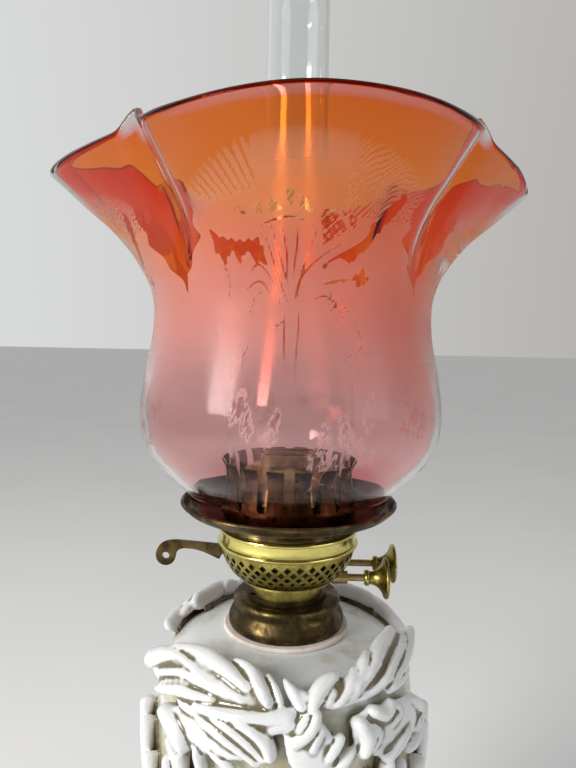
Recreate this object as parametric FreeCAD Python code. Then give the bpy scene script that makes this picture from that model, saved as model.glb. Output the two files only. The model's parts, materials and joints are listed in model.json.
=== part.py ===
"""Duplex oil lamp: ceramic font, brass twin-wick burner, glass chimney and a four-lobed glass shade.

Millimetres, +Z up. The origin is on the floor under the lamp's axis, which is the centre of its box.
+X points to the side with the wick winders, and the extinguisher lever is on the -X side.
Every brass part above the font is placed from GALLERY_Z, the height of the shade gallery's lip.
"""
import FreeCAD, Part
import math
import os

V = FreeCAD.Vector
UP = V(0, 0, 1)

# ---- driving dimensions ----
GALLERY_Z = 338.0          # lip of the shade gallery above the floor
GALLERY_R = 56.0           # lip radius of a gallery for a 4 inch (102 mm) shade foot
SHEET = 0.8                # brass sheet thickness
FIT = 0.05                 # radial clearance of a running fit
GAP = 0.3                  # clearance between parts that move past each other

# ceramic font
FONT_TOP_Z = 270.0         # top of the ceramic neck
FONT_NECK_R = 33.0         # outer radius of the neck's face
FONT_HOLE_R = 24.0         # hole through the neck
FONT_BODY_R = 68.0         # reservoir's outer radius under the leaves
FOOT_R = 76.0              # outer radius of the foot
FOOT_WALL = 9.0            # width of the ring that the foot stands on
RESERVOIR_R = 62.0         # inside of the reservoir at its widest
RESERVOIR_FLOOR_Z = 124.0
STEM_ROOF_Z = 116.0        # top of the hollow under the reservoir

# collar on the neck, and the burner's neck inside it
COLLAR_Z = GALLERY_Z - 65.8    # underside of the collar's flange
COLLAR_TOP_Z = GALLERY_Z - 48.8
NECK_R = 18.6                  # outer radius of the burner's neck
NECK_BOTTOM_Z = COLLAR_Z + 3.0
NECK_TOP_Z = GALLERY_Z - 41.5
STUD_R = 1.2                   # bayonet stud
STUD_Z = COLLAR_TOP_Z - 5.0
TWIST_DEG = 26.0               # turn that frees the studs
FLOOR_Z = GALLERY_Z - 46.0     # plate that carries the wick tubes

# drum and basket
DRUM_R = 35.4                  # outer radius where the drum meets the basket
DRUM_MOUTH_R = 34.0            # opening that the gallery's spigot drops into
DRUM_TOP_Z = GALLERY_Z - 13.2
DRUM_BOTTOM_Z = GALLERY_Z - 22.9
BASKET = [                     # outer line of the pierced basket
    (24.2, NECK_TOP_Z + SHEET), (27.5, GALLERY_Z - 38.6), (31.4, GALLERY_Z - 34.0),
    (34.2, GALLERY_Z - 28.4), (35.2, GALLERY_Z - 24.4), (DRUM_R, DRUM_BOTTOM_Z),
]
HOLE_ROWS = 5
HOLES_PER_ROW = 36
HOLE_SIZE = 2.7                # side of a square hole in the basket
HOLE_PITCH = 2.75              # height from one row of holes to the next
FIRST_HOLES_Z = GALLERY_Z - 37.6
BUSH_R = 3.2                   # sleeve that a winder shaft turns in
BUSH_X0 = 23.0
BUSH_X1 = 31.0

# wicks and their tubes
WICK_Y = 6.0                   # each wick's distance from the axis plane
WICK_WIDTH = 24.5
WICK_THICK = 3.0
TUBE_WALL = 0.6
TUBE_GAP = 0.35                # between a wick and its tube
TUBE_TOP_Z = GALLERY_Z + 10.0
TUBE_BOTTOM_Z = GALLERY_Z - 62.0
WICK_TOP_Z = TUBE_TOP_Z - 1.0
WICK_BOTTOM_Z = 176.0
TUBE_WIDTH = WICK_WIDTH + 2 * (TUBE_GAP + TUBE_WALL)
TUBE_THICK = WICK_THICK + 2 * (TUBE_GAP + TUBE_WALL)

# winders
SHAFT_Y = 10.7
SHAFT_Z = GALLERY_Z - 38.0
SHAFT_R = 1.8
SHAFT_LEFT_X = -12.4
WHEEL_X = 7.0                  # each spur wheel's distance from the middle of its wick
WHEEL_THICK = 1.4
WHEEL_R = 3.0                  # pitch radius: the wick moves this far for each radian
WHEEL_TEETH = 12
KNOB_LENGTH = 12.0
KNOB_R = 10.3
KNOB_X = {"front": 39.8, "back": 47.0}

# extinguisher
LEVER_THICK = 1.6
PIVOT_X = -29.5
PIVOT_Z = GALLERY_Z - 29.0
PIVOT_R = 1.1
BRACKET_SHEET = 1.2
LEVER_REACH = 25.0             # from the pivot to the lifting rod
SNUFFER_LIFT = 6.0
SNUFFER_TOP_Z = GALLERY_Z + 9.0
SNUFFER_HEIGHT = 6.0
SNUFFER_WALL = 0.6

# flame slots in the cone
SLOT_Y = 7.0
SLOT_LENGTH = 27.0
SLOT_WIDTH = 8.0

# glass
CHIMNEY_Z = GALLERY_Z + 4.6
CHIMNEY_TOP_Z = GALLERY_Z + 262.0
CHIMNEY_WALL = 1.9
CHIMNEY_BASE_R = 31.75         # radius of a 2 1/2 inch chimney base
SHADE_WALL = 3.0
SHADE_FOOT_Z = GALLERY_Z - 3.6
SHADE_TURN = 4.8               # degrees that the shade is turned on its gallery
LOBES = 4
LOBE_R = 121.3                 # rim radius in the middle of a lobe
LOBE_Z = GALLERY_Z + 162.0
FOLD_R = 100.0                 # rim radius beside a fold
FOLD_DEPTH = 8.0               # how far a fold is pinched in at the rim
FOLD_LIFT = 6.0                # how far the pinch pushes the rim up
FOLD_WIDTH = 0.075             # half-width of the pinch, as a share of half a lobe
SHADE_BODY = [                 # (radius, height above the foot) of the round body
    (50.6, 0.4), (51.0, 3.6), (52.6, 8.0), (58.0, 13.4), (68.0, 24.4), (75.3, 37.0), (76.7, 52.0),
    (74.7, 69.5), (71.2, 87.0), (70.2, 102.0),
]
SHADE_SPREAD = [(72.4, 112.0), (77.0, 121.0), (84.5, 131.5), (95.0, 142.0), (107.0, 152.0)]
RIM_HEIGHTS = [                # (degrees from the front, height above the gallery) of the hand-worked rim
    (-94, 170), (-85, 161.5), (-63, 162), (-40, 165), (-20, 160.5), (5, 162.5), (28, 162.5), (50, 165.5),
    (72, 164), (93, 160), (104, 170), (122, 177), (137, 177), (180, 171), (228, 172), (248, 178), (266, 170),
]


# ---- helpers ----
def export(name, solid):
    solid.exportStep("parts/" + name + ".step")


def edge(points):
    """A straight edge through two points, or a smooth one through more."""
    if len(points) == 2:
        return Part.makeLine(points[0], points[1])
    curve = Part.BSplineCurve()
    curve.interpolate(points)
    return curve.toShape()


def lathe(*stretches, axis=UP, centre=V(0, 0, 0)):
    """Turn a closed outline of (radius, height) stretches about the Z axis.

    Each stretch starts where the last one ends. Two points are a line, more are a smooth curve.
    """
    edges = []
    for stretch in stretches:
        edges.append(edge([V(r, 0, z) for r, z in stretch]))
    face = Part.Face(Part.Wire(edges))
    return face.revolve(centre, axis, 360)


def beside(points, distance):
    """Points moved sideways, to the left of the way they run, by a distance."""
    moved = []
    last = len(points) - 1
    for i, (r, z) in enumerate(points):
        before = points[max(i - 1, 0)]
        after = points[min(i + 1, last)]
        dr = after[0] - before[0]
        dz = after[1] - before[1]
        length = math.hypot(dr, dz)
        moved.append((r - dz / length * distance, z + dr / length * distance))
    return moved


def sheet_lathe(points, thickness):
    """A spun sheet whose outer face runs through the points, bottom to top, with its metal inside."""
    inner = beside(points, thickness)
    return lathe(points, [points[-1], inner[-1]], inner[::-1], [inner[0], points[0]])


def box(x0, x1, y0, y1, z0, z1):
    return Part.makeBox(x1 - x0, y1 - y0, z1 - z0, V(x0, y0, z0))


def rod(start, end, radius):
    run = end.sub(start)
    return Part.makeCylinder(radius, run.Length, start, run)


def tube(start, end, outer, inner):
    return rod(start, end, outer).cut(rod(start, end, inner))


def oval(length, width, z0, z1, y):
    """An upright prism with round ends, its long side along X."""
    half = (length - width) / 2
    middle = box(-half, half, y - width / 2, y + width / 2, z0, z1)
    ends = [Part.makeCylinder(width / 2, z1 - z0, V(x, y, z0)) for x in (-half, half)]
    return middle.fuse(ends).removeSplitter()


# ---- ceramic font ----
def font_outline():
    """Outer line from the foot up to the neck."""
    foot = [(FOOT_R - 1.0, 0), (FOOT_R, 3), (FOOT_R - 1.0, 10), (64, 18), (48, 27), (38, 42), (34, 62)]
    stem = [(34, 62), (34.5, 76), (41, 84), (43, 90), (40, 97), (35, 105), (38, 118)]
    bowl = [(38, 118), (50, 134), (62, 154), (67, 178), (FONT_BODY_R, 205), (68, 232), (64, 251)]
    top = [(64, 251), (60, 262), (50, 266.5), (41, 269), (FONT_NECK_R, FONT_TOP_Z)]
    return foot, stem, bowl, top


def ceramic_body():
    foot, stem, bowl, top = font_outline()
    base_inner = FOOT_R - FOOT_WALL
    room_r = RESERVOIR_R
    floor_z = RESERVOIR_FLOOR_Z
    roof_z = STEM_ROOF_Z
    return lathe(
        foot, stem, bowl, top,
        [(FONT_NECK_R, FONT_TOP_Z), (FONT_HOLE_R, FONT_TOP_Z)],
        [(FONT_HOLE_R, FONT_TOP_Z), (FONT_HOLE_R, 260)],
        [(FONT_HOLE_R, 260), (46, 257), (56, 250), (room_r - 1, 236), (room_r, 205)],
        [(room_r, 205), (room_r - 2, 176), (54, 156), (44, 138), (30, 128), (0, floor_z)],
        [(0, floor_z), (0, roof_z)],
        [(0, roof_z), (20, 110), (28, 98), (28, 62), (34, 40), (48, 20), (60, 12), (base_inner, 6)],
        [(base_inner, 6), (base_inner, 0)],
        [(base_inner, 0), (FOOT_R - 1.0, 0)],
    )


def plaster_ring():
    """The plaster that beds the collar on the neck."""
    z0 = FONT_TOP_Z
    z1 = COLLAR_Z
    side = [(32.6, z0), (33.1, z0 + 0.9), (32.4, z1)]
    return lathe([(20.6, z0), (32.6, z0)], side, [(32.4, z1), (20.6, z1)], [(20.6, z1), (20.6, z0)])


# ---- collar ----
def collar():
    z0 = COLLAR_Z
    z1 = COLLAR_TOP_Z
    bore = NECK_R + FIT
    skirt = [(29.6, z0), (30.5, z0 + 3), (29.8, z0 + 5.5), (28.3, z0 + 8.5), (28.2, z0 + 12.0)]
    cap = [(28.2, z0 + 12.0), (27.6, z0 + 14.6), (26.0, z0 + 15.4)]
    inside = [(24.9, z0 + 14.3), (26.8, z0 + 11.6), (26.9, z0 + 8.2), (28.5, z0 + 4.6), (28.4, z0 + 0)]
    body = lathe(
        skirt, cap,
        [(26.0, z0 + 15.4), (21.0, z0 + 15.4)],
        [(21.0, z0 + 15.4), (21.0, z1)],
        [(21.0, z1), (bore, z1)],
        [(bore, z1), (bore, z0 + 2)],
        [(bore, z0 + 2), (20.2, z0 + 2)],
        [(20.2, z0 + 2), (20.2, z0 + 14.3)],
        [(20.2, z0 + 14.3), inside[0]],
        inside,
        [inside[-1], (29.6, z0)],
    )
    for side in (0, 180):
        body = body.cut(stud_slot(side))
    return body


def stud_slot(side):
    """An L-shaped slot: along the sleeve as far as the burner turns, then up and out at the top."""
    half = STUD_R + GAP
    spread = math.degrees(half / NECK_R)
    flat = Part.makeCylinder(20.6, 2 * half, V(0, 0, STUD_Z - half), UP, TWIST_DEG + 2 * spread)
    flat.rotate(V(0, 0, 0), UP, side - spread)
    way_out = Part.makeCylinder(20.6, COLLAR_TOP_Z - STUD_Z + 1, V(0, 0, STUD_Z), UP, 2 * spread)
    way_out.rotate(V(0, 0, 0), UP, side + TWIST_DEG - spread)
    return flat.fuse(way_out)


# ---- burner base ----
def burner_base():
    """The neck that drops into the collar, with a plate across it and the saucer under the basket."""
    inner = NECK_R - 1.0
    flare = [(NECK_R, NECK_TOP_Z - 1.2), (20.2, NECK_TOP_Z - 0.4), (24.2, NECK_TOP_Z)]
    body = lathe(
        [(inner, NECK_BOTTOM_Z), (NECK_R, NECK_BOTTOM_Z)],
        [(NECK_R, NECK_BOTTOM_Z), flare[0]],
        flare,
        [(24.2, NECK_TOP_Z), (24.2, NECK_TOP_Z + SHEET)],
        [(24.2, NECK_TOP_Z + SHEET), (inner, NECK_TOP_Z + SHEET)],
        [(inner, NECK_TOP_Z + SHEET), (inner, NECK_BOTTOM_Z)],
    )
    plate = Part.makeCylinder(inner + 0.1, 1.2, V(0, 0, FLOOR_Z))
    body = body.fuse(plate)
    for y in (-WICK_Y, WICK_Y):
        half_x = TUBE_WIDTH / 2
        half_y = TUBE_THICK / 2
        hole = box(-half_x, half_x, y - half_y, y + half_y, FLOOR_Z - 1, FLOOR_Z + 3)
        body = body.cut(hole)
    return body


def bayonet_studs():
    """Two studs in the neck, which turn in the collar's slots."""
    studs = []
    for side in (-1, 1):
        studs.append(rod(V(side * (NECK_R - 0.8), 0, STUD_Z), V(side * 20.0, 0, STUD_Z), STUD_R))
    return Part.makeCompound(studs)


# ---- basket and drum ----
def basket_shell():
    inner = beside(BASKET, SHEET)
    foot = (BASKET[0][0] - SHEET, BASKET[0][1])
    inner = [foot] + inner[1:-1] + [(BASKET[-1][0] - SHEET, BASKET[-1][1])]
    return lathe(BASKET, [BASKET[-1], inner[-1]], inner[::-1], [inner[0], BASKET[0]])


def basket_point(height):
    """Radius and slope of the basket's outer face at a height, between its outline's points."""
    for (r0, z0), (r1, z1) in zip(BASKET, BASKET[1:]):
        if z0 <= height <= z1:
            share = (height - z0) / (z1 - z0)
            return r0 + share * (r1 - r0), math.atan2(r1 - r0, z1 - z0)
    return BASKET[-1][0], 0.0


def basket_holes():
    """Staggered rows of square holes that stand on their corners."""
    holes = []
    for row in range(HOLE_ROWS):
        height = FIRST_HOLES_Z + HOLE_PITCH * row
        radius, slope = basket_point(height)
        size = HOLE_SIZE * (0.86 + 0.035 * row)
        hole = Part.makeBox(6, size, size, V(radius - 3, -size / 2, -size / 2))
        hole.rotate(V(radius, 0, 0), V(1, 0, 0), 45)
        hole.rotate(V(radius, 0, 0), V(0, 1, 0), math.degrees(slope))
        hole.translate(V(0, 0, height))
        for i in range(HOLES_PER_ROW):
            angle = (i + 0.5 * (row % 2)) * 360 / HOLES_PER_ROW
            if keeps_clear(radius, angle, height):
                turned = hole.copy()
                turned.rotate(V(0, 0, 0), UP, angle)
                holes.append(turned)
    return holes


def keeps_clear(radius, angle, height):
    """Whether a hole is clear of the shaft bushes and of the lever's slot."""
    x = radius * math.cos(math.radians(angle))
    y = radius * math.sin(math.radians(angle))
    near_shaft = x > 0 and math.hypot(abs(y) - SHAFT_Y, height - SHAFT_Z) < BUSH_R + HOLE_SIZE
    near_lever = x < 0 and abs(y) < LEVER_THICK / 2 + HOLE_SIZE
    return not (near_shaft or near_lever)


def basket():
    shell = basket_shell()
    tools = basket_holes()
    for y in (-SHAFT_Y, SHAFT_Y):
        tools.append(rod(V(15, y, SHAFT_Z), V(40, y, SHAFT_Z), BUSH_R))
    half = LEVER_THICK / 2 + GAP
    tools.append(box(-40, -28, -half, half, GALLERY_Z - 34.6, DRUM_BOTTOM_Z - 0.6))
    return shell.cut(tools)


def burner_drum():
    """The polished band above the basket, with a bead at its foot and a flange that the gallery sits on."""
    z0 = DRUM_BOTTOM_Z
    z1 = DRUM_TOP_Z
    bead = [(DRUM_R, z0), (36.6, z0 + 0.3), (37.0, z0 + 1.1), (36.5, z0 + 1.9), (35.8, z0 + 2.2)]
    wall = [(35.8, z0 + 2.2), (35.7, z0 + 5.0), (36.1, z1 - 2.2)]
    ridge = [(36.1, z1 - 2.2), (36.8, z1 - 1.7), (36.9, z1 - 1.0), (36.3, z1 - 0.2), (35.6, z1)]
    inner = DRUM_R - SHEET
    return lathe(
        bead, wall, ridge,
        [(35.6, z1), (DRUM_MOUTH_R, z1)],
        [(DRUM_MOUTH_R, z1), (DRUM_MOUTH_R, z1 - SHEET)],
        [(DRUM_MOUTH_R, z1 - SHEET), (inner, z1 - SHEET)],
        [(inner, z1 - SHEET), (inner, z0)],
        [(inner, z0), (DRUM_R, z0)],
    )


# ---- wick tubes and wicks ----
def wick_tube(y):
    half_x = TUBE_WIDTH / 2
    half_y = TUBE_THICK / 2
    outer = box(-half_x, half_x, y - half_y, y + half_y, TUBE_BOTTOM_Z, TUBE_TOP_Z)
    bore_x = half_x - TUBE_WALL
    bore_y = half_y - TUBE_WALL
    bore = box(-bore_x, bore_x, y - bore_y, y + bore_y, TUBE_BOTTOM_Z - 1, TUBE_TOP_Z + 1)
    tube_solid = outer.cut(bore)
    side = math.copysign(1, y)
    reach = WHEEL_R + GAP + 0.4
    for x in (-WHEEL_X, WHEEL_X):
        half = WHEEL_THICK / 2 + GAP
        y0, y1 = sorted((y + side * 0.5, y + side * (half_y + 1)))
        window = box(x - half, x + half, y0, y1, SHAFT_Z - reach, SHAFT_Z + reach)
        tube_solid = tube_solid.cut(window)
    return tube_solid


def wick(y):
    half = WICK_THICK / 2
    return box(-WICK_WIDTH / 2, WICK_WIDTH / 2, y - half, y + half, WICK_BOTTOM_Z, WICK_TOP_Z)


# ---- winders ----
def spur_wheel(x, y):
    """A toothed wheel whose teeth grip the wick through the tube's window."""
    points = []
    for tooth in range(WHEEL_TEETH):
        for share, radius in ((0.0, WHEEL_R), (0.5, WHEEL_R - 0.55)):
            angle = 2 * math.pi * (tooth + share) / WHEEL_TEETH
            points.append(V(x, y + radius * math.cos(angle), SHAFT_Z + radius * math.sin(angle)))
    points.append(points[0])
    wheel = Part.Face(Part.makePolygon(points)).extrude(V(WHEEL_THICK, 0, 0))
    wheel.translate(V(-WHEEL_THICK / 2, 0, 0))
    return wheel.cut(rod(V(x - 2, y, SHAFT_Z), V(x + 2, y, SHAFT_Z), SHAFT_R))


def winder_shaft(y, end_x):
    return rod(V(SHAFT_LEFT_X, y, SHAFT_Z), V(end_x, y, SHAFT_Z), SHAFT_R)


def winder_knob(x, y):
    """A trumpet-shaped knob, turned about Z and then laid along +X from its hub."""
    length = KNOB_LENGTH
    horn = [(3.2, 2.6), (3.4, 4.2), (4.6, 6.6), (7.0, 8.7), (9.7, 9.9)]
    rim = [(9.7, 9.9), (KNOB_R, 10.5), (KNOB_R, 11.4), (9.6, 11.7)]
    face = [(9.6, 11.7), (8.0, 10.9), (5.2, 10.4), (3.4, 10.9), (2.2, length), (0, length)]
    knob = lathe(
        [(SHAFT_R, 0), (3.5, 0)],
        [(3.5, 0), (3.9, 0.7), (3.9, 1.8), (3.2, 2.6)],
        horn, rim, face,
        [(0, length), (0, 8.0)],
        [(0, 8.0), (SHAFT_R, 8.0)],
        [(SHAFT_R, 8.0), (SHAFT_R, 0)],
    )
    knob.rotate(V(0, 0, 0), V(0, 1, 0), 90)
    knob.translate(V(x, y, SHAFT_Z))
    return knob


def shaft_bush(y):
    """The sleeve in the basket's wall that a winder shaft turns in."""
    bush = tube(V(BUSH_X0, y, SHAFT_Z), V(BUSH_X1, y, SHAFT_Z), BUSH_R, SHAFT_R + FIT)
    return bush


def shaft_hanger(y):
    """A small eye soldered to the outside of the wick tube, which holds the shaft's inner end."""
    side = math.copysign(1, y)
    face = side * (WICK_Y + TUBE_THICK / 2)
    y0, y1 = sorted((face, side * (SHAFT_Y + 2.6)))
    plate = box(-11.4, -10.2, y0, y1, SHAFT_Z - 2.6, SHAFT_Z + 2.9)
    return plate.cut(rod(V(-13, y, SHAFT_Z), V(-9, y, SHAFT_Z), SHAFT_R + FIT))


# ---- extinguisher ----
def extinguisher_lever():
    """A flat lever in the XZ plane: a finger ring outside, and an arm between the wick tubes."""
    z = GALLERY_Z
    ring_x = -64.6
    ring_z = z - 32.1
    crook = [(-69.9, -32.1), (-69.2, -28.6), (-66.6, -25.4), (-62.6, -23.9), (-57.5, -23.7)]
    top = [(-57.5, -23.7), (-50.0, -24.2), (-40.0, -25.0), (-28.0, -26.2), (-18.0, -27.2), (-3.0, -27.4)]
    arm = [(-3.0, -30.0), (-16.0, -30.4), (-34.6, -30.6)]
    barb = [(-34.6, -30.6), (-36.2, -33.5)]
    bottom = [(-36.2, -33.5), (-42.0, -30.8), (-48.0, -28.7), (-53.0, -28.0), (-57.0, -28.5), (-59.3, -32.1)]
    edges = []
    for stretch in (crook, top, [top[-1], arm[0]], arm, barb, bottom, [bottom[-1], crook[0]]):
        edges.append(edge([V(x, 0, z + rise) for x, rise in stretch]))
    plate = Part.Face(Part.Wire(edges)).extrude(V(0, LEVER_THICK, 0))
    plate.translate(V(0, -LEVER_THICK / 2, 0))
    half = LEVER_THICK / 2
    ring = rod(V(ring_x, -half, ring_z), V(ring_x, half, ring_z), 5.2)
    lever = plate.fuse(ring)
    lever = lever.cut(rod(V(ring_x, -2, ring_z), V(ring_x, 2, ring_z), 1.9))
    return lever.cut(rod(V(PIVOT_X, -2, PIVOT_Z), V(PIVOT_X, 2, PIVOT_Z), PIVOT_R + FIT))


def lever_pivot_pin():
    return rod(V(PIVOT_X, -3.6, PIVOT_Z), V(PIVOT_X, 3.6, PIVOT_Z), PIVOT_R)


def lever_bracket():
    """A forked bracket inside the basket that carries the lever's pivot pin."""
    inner = LEVER_THICK / 2 + GAP
    outer = inner + BRACKET_SHEET
    top = DRUM_BOTTOM_Z + 3.4
    left = PIVOT_X - 2.0
    right = PIVOT_X + 3.0
    cheeks = []
    for y0, y1 in ((-outer, -inner), (inner, outer)):
        cheeks.append(box(left, right, y0, y1, PIVOT_Z - 2.4, top))
    bridge = box(left, right, -outer, outer, top - BRACKET_SHEET, top)
    bracket = bridge.fuse(cheeks).removeSplitter()
    arm = box(-DRUM_R, left, -outer, outer, top - BRACKET_SHEET, top)
    bracket = bracket.fuse(arm).removeSplitter()
    bracket = bracket.common(Part.makeCylinder(DRUM_R - SHEET, 60, V(0, 0, GALLERY_Z - 60)))
    return bracket.cut(rod(V(PIVOT_X, -8, PIVOT_Z), V(PIVOT_X, 8, PIVOT_Z), PIVOT_R))


def snuffer_sleeve(y):
    """A sleeve that rides up over the top of its wick tube."""
    inner_x = TUBE_WIDTH / 2 + GAP
    inner_y = TUBE_THICK / 2 + GAP
    z0 = SNUFFER_TOP_Z - SNUFFER_HEIGHT
    outer = box(
        -inner_x - SNUFFER_WALL, inner_x + SNUFFER_WALL,
        y - inner_y - SNUFFER_WALL, y + inner_y + SNUFFER_WALL, z0, SNUFFER_TOP_Z,
    )
    return outer.cut(box(-inner_x, inner_x, y - inner_y, y + inner_y, z0 - 1, SNUFFER_TOP_Z + 1))


def snuffer_bridge():
    half = WICK_Y - TUBE_THICK / 2 - GAP - SNUFFER_WALL
    z0 = SNUFFER_TOP_Z - SNUFFER_HEIGHT
    x = PIVOT_X + LEVER_REACH
    return box(x - 3.0, x + 3.0, -half, half, z0, z0 + 1.4)


def snuffer_rod():
    """The rod that stands on the lever's inner end and carries the snuffers."""
    x = PIVOT_X + LEVER_REACH
    return rod(V(x, 0, GALLERY_Z - 27.0), V(x, 0, SNUFFER_TOP_Z - SNUFFER_HEIGHT), 1.2)


# ---- gallery ----
def shade_gallery():
    """The dish that the shade stands in, with a rolled lip, and a spigot that drops inside the drum."""
    z = GALLERY_Z
    r = GALLERY_R
    lip = [(r - 1.0, z - 1.9), (r, z - 1.3), (r + 0.3, z - 0.3), (r - 0.3, z + 0.5), (r - 1.3, z + 0.3)]
    dish = [
        (r - 1.3, z + 0.3), (r - 2.6, z - 2.2), (r - 4.0, z - 4.0),
        (48.6, z - 4.6), (42.5, z - 6.2), (36.0, z - 7.4),
    ]
    under = [(37.2, z - 9.0), (41.6, z - 8.0), (47.0, z - 6.4), (51.4, z - 5.0), (r - 1.0, z - 1.9)]
    spigot = DRUM_MOUTH_R - FIT
    seat = DRUM_TOP_Z
    return lathe(
        lip, dish,
        [(36.0, z - 7.4), (31.4, z - 7.4)],
        [(31.4, z - 7.4), (31.4, z - 8.4)],
        [(31.4, z - 8.4), (spigot - SHEET, z - 9.6)],
        [(spigot - SHEET, z - 9.6), (spigot - SHEET, seat - 3.0)],
        [(spigot - SHEET, seat - 3.0), (spigot, seat - 3.0)],
        [(spigot, seat - 3.0), (spigot, seat)],
        [(spigot, seat), (35.2, seat)],
        [(35.2, seat), (35.2, seat + 0.8), (34.7, seat + 2.0), (37.2, z - 9.0)],
        under,
    )


def burner_cone():
    """The dome over both wicks, with a raised slot above each flame."""
    z = GALLERY_Z
    outer = [
        (30.6, z - 6.6), (29.4, z - 2.0), (28.9, z + 3.0), (27.6, z + 9.5), (24.0, z + 14.6),
        (17.5, z + 18.2), (9.0, z + 20.2), (0.0, z + 20.8),
    ]
    inner = beside(outer, SHEET)
    inner[0] = (29.8, z - 6.6)
    inner[-1] = (0.0, z + 20.8 - SHEET)
    flange = [(32.8, z - 7.4), (32.8, z - 6.6)]
    shell = lathe(
        [(29.8, z - 7.4), flange[0]], flange, [flange[1], outer[0]],
        outer,
        [outer[-1], inner[-1]],
        inner[::-1],
        [inner[0], (29.8, z - 7.4)],
    )
    for y in (-SLOT_Y, SLOT_Y):
        lip = oval(SLOT_LENGTH + 2.4, SLOT_WIDTH + 2.4, z + 12.0, z + 24.0, y)
        shell = shell.fuse(lip)
    for y in (-SLOT_Y, SLOT_Y):
        shell = shell.cut(oval(SLOT_LENGTH, SLOT_WIDTH, z + 5.0, z + 30.0, y))
    return shell.cut(snuffer_room())


def snuffer_room():
    """Clear space under the dome for the snuffers at the top of their lift."""
    top = SNUFFER_TOP_Z + SNUFFER_LIFT + 1.0
    return box(-16, 16, -12.0, 12.0, GALLERY_Z, top)


def chimney_coronet():
    """The sprung ring of prongs that grips the chimney's foot."""
    z = GALLERY_Z
    outer = [(34.6, z - 7.4), (34.2, z + 3.0), (33.2, z + 10.0), (33.4, z + 16.0), (35.4, z + 20.5)]
    ring = sheet_lathe(outer, 0.6)
    shelf_z = CHIMNEY_Z - SHEET - 0.1
    shelf = tube(V(0, 0, shelf_z), V(0, 0, shelf_z + SHEET), 33.8, 30.9)
    ring = ring.fuse(shelf)
    prongs = 16
    tools = []
    for i in range(prongs):
        angle = i * 360 / prongs
        gap = Part.makeCylinder(2.6, 12, V(28, 0, z + 6.0), V(1, 0, 0))
        notch = gap.fuse(box(28, 40, -2.6, 2.6, z + 6.0, z + 24.0))
        notch.rotate(V(0, 0, 0), UP, angle)
        tools.append(notch)
        hole = Part.makeCylinder(1.5, 12, V(28, 0, z - 1.5), V(1, 0, 0))
        hole.rotate(V(0, 0, 0), UP, angle + 180 / prongs)
        tools.append(hole)
    return ring.cut(tools)


# ---- glass ----
def chimney():
    z = GALLERY_Z
    outer = [
        (CHIMNEY_BASE_R, CHIMNEY_Z), (CHIMNEY_BASE_R, z + 22), (33.4, z + 38), (33.0, z + 56),
        (27.0, z + 84), (20.6, z + 112), (17.6, z + 150), (16.0, z + 200), (15.5, CHIMNEY_TOP_Z),
    ]
    return sheet_lathe(outer, CHIMNEY_WALL)


def fullness(share, lobe, sign):
    """How full the rim is: 1 in the middle of a lobe, 0 at its folds. The side lobes come to a point."""
    if lobe % 2 == 0:
        return 1 - share ** 1.9
    front_half = (lobe == 1) == (sign < 0)
    blunt = math.sqrt(share ** 2 + 0.01) - 0.1
    return max(1 - blunt, 0.0) ** (2.2 if front_half else 1.3)


def rim_height(degrees):
    """Height of the rim at an angle, eased between the stated heights."""
    turned = (degrees + 94) % 360 - 94
    table = RIM_HEIGHTS
    for (a0, z0), (a1, z1) in zip(table, table[1:]):
        if a0 <= turned <= a1:
            share = (turned - a0) / (a1 - a0)
            return GALLERY_Z + z0 + (z1 - z0) * (3 - 2 * share) * share ** 2
    return GALLERY_Z + table[0][1]


def shade_section(share, sign, lobe):
    """The closed cross-section of the wall at one angle, as points around it."""
    degrees = SHADE_TURN + lobe * 360 / LOBES + sign * share * 180 / LOBES
    angle = math.radians(degrees)
    line = []
    for r, rise in SHADE_BODY:
        line.append((r, SHADE_FOOT_Z + rise))
    start_r, start_z = line[-1]
    start_rise = SHADE_BODY[-1][1]
    full_rise = LOBE_Z - SHADE_FOOT_Z
    pinch = math.exp(-((1 - share) / FOLD_WIDTH) ** 2)
    top_r = FOLD_R + (LOBE_R - FOLD_R) * fullness(share, lobe, sign)
    top_z = rim_height(degrees)
    for r, rise in SHADE_SPREAD + [(LOBE_R, full_rise)]:
        out = (r - start_r) / (LOBE_R - start_r)
        up = (rise - start_rise) / (full_rise - start_rise)
        radius = start_r + out * (top_r - start_r) - FOLD_DEPTH * pinch * up ** 1.5
        line.append((radius, start_z + up * (top_z - start_z) + FOLD_LIFT * pinch * up ** 4))
    inner = beside(line, SHADE_WALL)
    tip = ((line[-1][0] + inner[-1][0]) / 2 + 0.7, (line[-1][1] + inner[-1][1]) / 2 + 0.7)
    foot = ((line[0][0] + inner[0][0]) / 2, line[0][1] - 0.5)
    loop = line + [tip] + inner[::-1] + [foot]
    return [V(r * math.sin(angle), -r * math.cos(angle), z) for r, z in loop]


def shade():
    """One face, closed both around the axis and around the wall's section."""
    shares = (0.0, 0.1, 0.22, 0.36, 0.5, 0.64, 0.76, 0.85, 0.91, 0.955, 0.985)
    sections = []
    for lobe in range(LOBES):
        for share in shares[:0:-1]:
            sections.append(shade_section(share, -1, lobe))
        for share in shares:
            sections.append(shade_section(share, 1, lobe))
        sections.append(shade_section(1.0, 1, lobe))
    rows = len(sections)
    around = len(sections[0])
    surface = Part.BSplineSurface()
    surface.buildFromPolesMultsKnots(
        sections, [1] * (rows + 1), [1] * (around + 1),
        list(range(rows + 1)), list(range(around + 1)), True, True, 3, 3,
    )
    return Part.Solid(Part.Shell([surface.toShape()]))


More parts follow.
